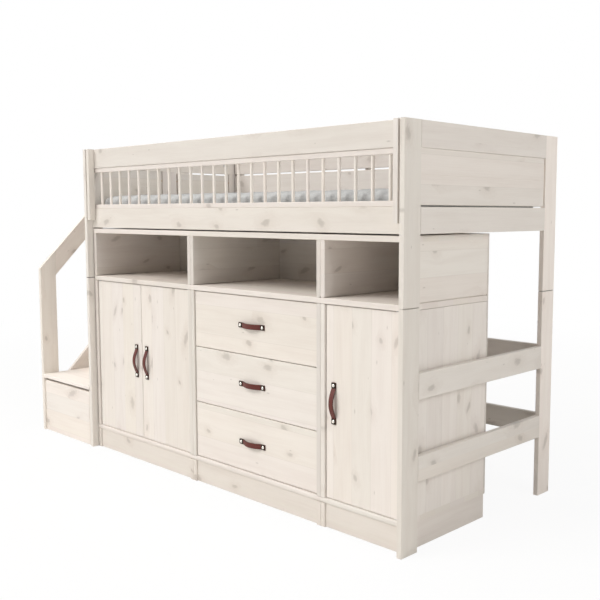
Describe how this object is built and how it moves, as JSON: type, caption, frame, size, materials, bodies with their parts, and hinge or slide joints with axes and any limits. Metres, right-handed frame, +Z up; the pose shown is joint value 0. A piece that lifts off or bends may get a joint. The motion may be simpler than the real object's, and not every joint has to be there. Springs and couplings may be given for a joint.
{
  "type": "loft bed",
  "caption": "Loft bed with a barred front guard, side stairs with a handrail, and cabinets with doors, drawers and open shelves under it.",
  "frame": {"origin": "on the floor, under the middle of the whole object's box", "axes": "+X along the bed, from the stairs to the open end; +Y from the doors to the rear; +Z up"},
  "size_m": [2.577, 1.02, 1.525],
  "materials": {
    "whitewashed_pine": "whitewashed, matt lacquer, grain and knots show through",
    "raw_pine": "planed, clear matt lacquer",
    "connector_steel": "zinc plated",
    "strap_leather": "smooth, waxed, dark edges",
    "mattress_cloth": "woven cover"
  },
  "bodies": {
    "bed": {"post_front_left": "whitewashed_pine", "post_front_right": "whitewashed_pine", "post_rear_left": "whitewashed_pine", "post_rear_right": "whitewashed_pine", "side_rail_front": "whitewashed_pine", "side_rail_rear": "whitewashed_pine", "end_rail_left": "whitewashed_pine", "end_rail_right": "whitewashed_pine", "lower_rails_ends": "whitewashed_pine", "lower_rails_rear": "whitewashed_pine", "end_top_rails": "whitewashed_pine", "end_panel_right": "whitewashed_pine", "end_panels_left": "whitewashed_pine", "end_upright_left": "whitewashed_pine", "rear_guard_boards": "whitewashed_pine", "rear_guard_stiles": "whitewashed_pine", "guard_top_board": "whitewashed_pine", "guard_strips": "whitewashed_pine", "guard_bars": "whitewashed_pine", "guard_stiles": "whitewashed_pine", "slat_bearers": "raw_pine", "slats": "raw_pine", "mattress": "mattress_cloth", "stair_front_post": "whitewashed_pine", "stair_rear_post": "whitewashed_pine", "stair_handrail": "whitewashed_pine", "stair_top_rail": "whitewashed_pine", "stair_lower_rail": "whitewashed_pine", "stair_sides_outer": "whitewashed_pine", "stair_sides_inner": "whitewashed_pine", "stair_treads": "whitewashed_pine", "stair_risers": "whitewashed_pine", "cabinet_left_sides": "whitewashed_pine", "cabinet_left_boards": "whitewashed_pine", "cabinet_middle_sides": "whitewashed_pine", "cabinet_middle_boards": "whitewashed_pine", "cabinet_right_sides": "whitewashed_pine", "cabinet_right_boards": "whitewashed_pine", "plinths": "whitewashed_pine", "cabinet_backs": "whitewashed_pine", "inner_shelves": "whitewashed_pine", "door_pivots": "connector_steel", "drawer_runners": "raw_pine", "dowels": "raw_pine", "rail_connectors": "connector_steel"},
    "door_left": {"door_left": "whitewashed_pine", "door_left_handle": "strap_leather"},
    "door_middle": {"door_middle": "whitewashed_pine", "door_middle_handle": "strap_leather"},
    "door_right": {"door_right": "whitewashed_pine", "door_right_handle": "strap_leather"},
    "drawer_top": {"drawer_top_front": "whitewashed_pine", "drawer_top_box": "raw_pine", "drawer_top_handle": "strap_leather"},
    "drawer_middle": {"drawer_middle_front": "whitewashed_pine", "drawer_middle_box": "raw_pine", "drawer_middle_handle": "strap_leather"},
    "drawer_bottom": {"drawer_bottom_front": "whitewashed_pine", "drawer_bottom_box": "raw_pine", "drawer_bottom_handle": "strap_leather"}
  },
  "joints": [
    {"name": "door_left_hinge", "type": "hinge", "parent": "bed", "child": "door_left", "pos_m": [-0.7215, -0.463, 0.12], "axis": [0, 0, -1], "range_deg": [0, 90]},
    {"name": "door_middle_hinge", "type": "hinge", "parent": "bed", "child": "door_middle", "pos_m": [0.0205, -0.463, 0.12], "axis": [0, 0, 1], "range_deg": [0, 90]},
    {"name": "door_right_hinge", "type": "hinge", "parent": "bed", "child": "door_right", "pos_m": [1.2285, -0.463, 0.12], "axis": [0, 0, 1], "range_deg": [0, 90]},
    {"name": "drawer_top_slide", "type": "slide", "parent": "bed", "child": "drawer_top", "axis": [0, -1, 0], "range_m": [0, 0.35]},
    {"name": "drawer_middle_slide", "type": "slide", "parent": "bed", "child": "drawer_middle", "axis": [0, -1, 0], "range_m": [0, 0.35]},
    {"name": "drawer_bottom_slide", "type": "slide", "parent": "bed", "child": "drawer_bottom", "axis": [0, -1, 0], "range_m": [0, 0.35]}
  ]
}
